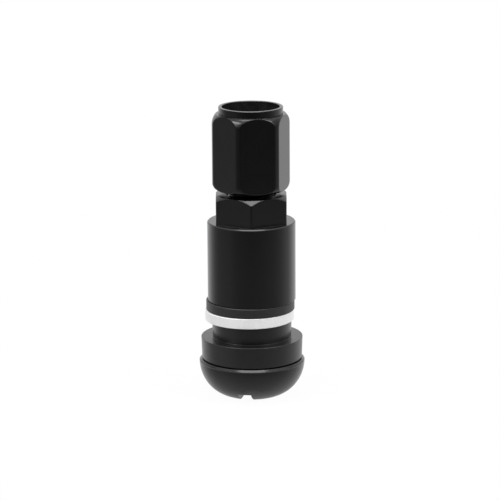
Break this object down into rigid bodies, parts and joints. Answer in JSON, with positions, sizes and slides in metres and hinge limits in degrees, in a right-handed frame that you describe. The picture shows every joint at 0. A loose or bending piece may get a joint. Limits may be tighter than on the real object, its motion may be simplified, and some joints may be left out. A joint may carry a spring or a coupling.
{
  "type": "tyre valve",
  "caption": "Clamp-in wheel valve: domed slotted foot, rubber grommet, washers, hexagonal sleeve nut and a hexagonal screw cap over a spring-loaded core.",
  "frame": {"origin": "centre of the rim's hole on the inner face of the rim, where the grommet's flange seats", "axes": "+Z along the stem, out of the rim to the cap; the picture looks along +Y"},
  "size_m": [0.0172, 0.0172, 0.048],
  "materials": {
    "black_anodised": "black anodised, satin",
    "bright_aluminium": "turned",
    "black_nylon": "matt",
    "black_rubber": "matt moulded",
    "core_brass": "turned",
    "spring_steel": "drawn wire"
  },
  "bodies": {
    "stem": {"valve_stem": "black_anodised", "rim_grommet": "black_rubber", "clamp_washer": "bright_aluminium"},
    "nut_washer": {"friction_washer": "black_nylon"},
    "nut": {"sleeve_nut": "black_anodised"},
    "cap_ring": {"cap_seal": "black_rubber"},
    "cap": {"cap_shell": "black_anodised"},
    "core": {"core_barrel": "core_brass", "core_gasket": "black_rubber", "core_spring": "spring_steel"},
    "plug": {"core_plug": "core_brass"},
    "pin": {"core_pin": "core_brass", "core_cup": "core_brass", "core_seal": "black_rubber"}
  },
  "joints": [
    {"name": "nut_lift", "type": "slide", "parent": "stem", "child": "nut_washer", "axis": [0, 0, 1], "range_m": [0, 0.0006]},
    {"name": "nut_turn", "type": "hinge", "parent": "nut_washer", "child": "nut", "pos_m": [0, 0, 0], "axis": [0, 0, 1], "range_deg": [0, 216.43]},
    {"name": "cap_lift", "type": "slide", "parent": "stem", "child": "cap_ring", "axis": [0, 0, 1], "range_m": [0, 0.00794]},
    {"name": "cap_turn", "type": "hinge", "parent": "cap_ring", "child": "cap", "pos_m": [0, 0, 0], "axis": [0, 0, 1], "range_deg": [0, 3607.2]},
    {"name": "core_lift", "type": "slide", "parent": "stem", "child": "core", "axis": [0, 0, 1], "range_m": [0, 0.00106]},
    {"name": "core_turn", "type": "hinge", "parent": "core", "child": "plug", "pos_m": [0, 0, 0], "axis": [0, 0, 1], "range_deg": [0, 541.08]},
    {"name": "pin_press", "type": "slide", "parent": "core", "child": "pin", "axis": [0, 0, -1], "range_m": [0, 0.001], "stiffness_N_per_m": 1500, "springref_m": -0.0007, "deforming": ["core_spring"]}
  ],
  "couplings": [
    {"joint": "nut_turn", "follows": "nut_lift", "rad_per_m": 6283.2},
    {"joint": "cap_turn", "follows": "cap_lift", "rad_per_m": 7915.8},
    {"joint": "core_turn", "follows": "core_lift", "rad_per_m": 8905.3}
  ]
}
